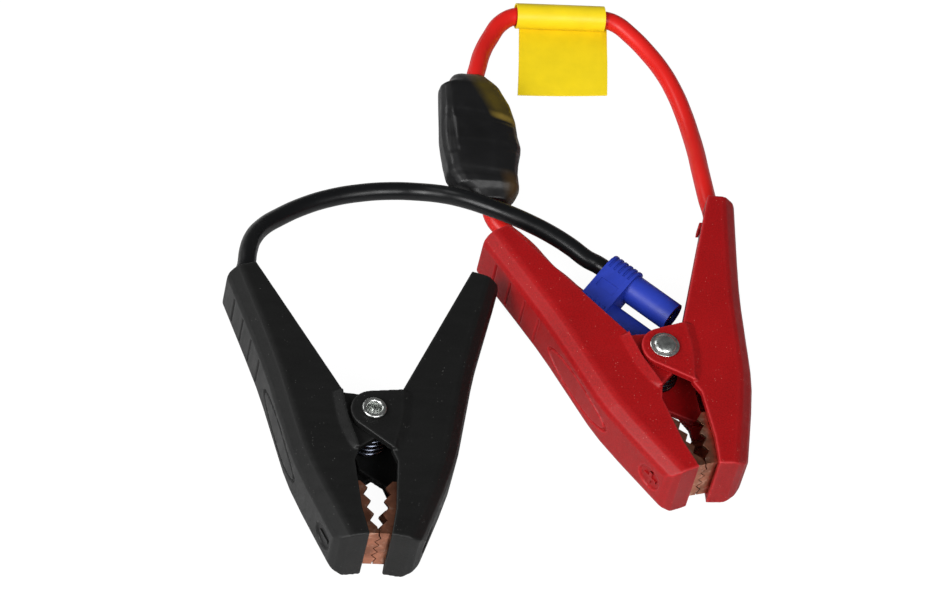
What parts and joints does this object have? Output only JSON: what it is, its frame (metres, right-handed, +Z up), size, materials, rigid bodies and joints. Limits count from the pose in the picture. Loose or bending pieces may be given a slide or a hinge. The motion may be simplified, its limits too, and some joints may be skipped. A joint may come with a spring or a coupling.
{
  "type": "jump starter clamp lead set",
  "caption": "Spring clamps in red and black on silicone leads, with a diode module and a two-pole bullet connector for a jump starter pack.",
  "frame": {"origin": "on the surface that the set lies on, under the middle of the two clamps' box", "axes": "+Z up, +Y from the black clamp's nose towards its handles, +X from the black clamp towards the red one"},
  "size_m": [0.1548, 0.2141, 0.0238],
  "materials": {
    "black_plastic": "fine grained, satin",
    "red_plastic": "fine grained, satin",
    "black_silicone": "smooth, glossy",
    "red_silicone": "smooth, soft gloss",
    "blue_nylon": "moulded, satin",
    "yellow_label": "bare printed film",
    "shrink": "shrunk tube, semi-gloss",
    "amber_tape": "clear amber film",
    "diode_epoxy": "moulded epoxy",
    "copper": "copper plated, pressed",
    "steel": "zinc plated",
    "spring_steel": "oiled spring wire",
    "gold": "gilt"
  },
  "bodies": {
    "lead_set": {"black_lead_half": "black_plastic", "black_lead_jaw": "copper", "black_lead_jaw_rivet": "steel", "black_pivot_rivet": "steel", "black_spring_bush": "steel", "black_torsion_spring": "spring_steel", "black_lead_terminal": "copper", "black_terminal_rivet": "steel", "black_lead_clip": "spring_steel", "black_lead_tail": "black_silicone", "red_lead_half": "red_plastic", "red_lead_jaw": "copper", "red_lead_jaw_rivet": "steel", "red_pivot_rivet": "steel", "red_spring_bush": "steel", "red_torsion_spring": "spring_steel", "red_lead_terminal": "copper", "red_terminal_rivet": "steel", "red_lead_clip": "spring_steel", "red_lead_tail": "red_silicone", "black_lead": "black_silicone", "red_clamp_lead": "red_silicone", "red_connector_lead": "red_silicone", "connector_housing": "blue_nylon", "negative_contact": "gold", "positive_contact": "gold", "shrink_sleeve": "shrink", "tape_wrap": "amber_tape", "diode_1": "diode_epoxy", "diode_2": "diode_epoxy", "diode_3": "diode_epoxy", "input_bus_strip": "copper", "output_bus_strip": "copper", "lead_label": "yellow_label"},
    "black_free_arm": {"black_free_half": "black_plastic", "black_free_jaw": "copper", "black_free_jaw_rivet": "steel"},
    "red_free_arm": {"red_free_half": "red_plastic", "red_free_jaw": "copper", "red_free_jaw_rivet": "steel"}
  },
  "joints": [
    {"name": "black_clamp_open", "type": "hinge", "parent": "lead_set", "child": "black_free_arm", "pos_m": [-0.03725, -0.02113, 0.01025], "axis": [0, 0, 1], "range_deg": [0, 38], "stiffness_Nm_per_rad": 0.35, "springref_deg": -57.3, "deforming": ["black_torsion_spring"]},
    {"name": "red_clamp_open", "type": "hinge", "parent": "lead_set", "child": "red_free_arm", "pos_m": [0.04981, 0.00593, 0.01025], "axis": [0, 0, -1], "range_deg": [0, 5], "stiffness_Nm_per_rad": 0.35, "springref_deg": -57.3, "deforming": ["red_torsion_spring"]}
  ]
}
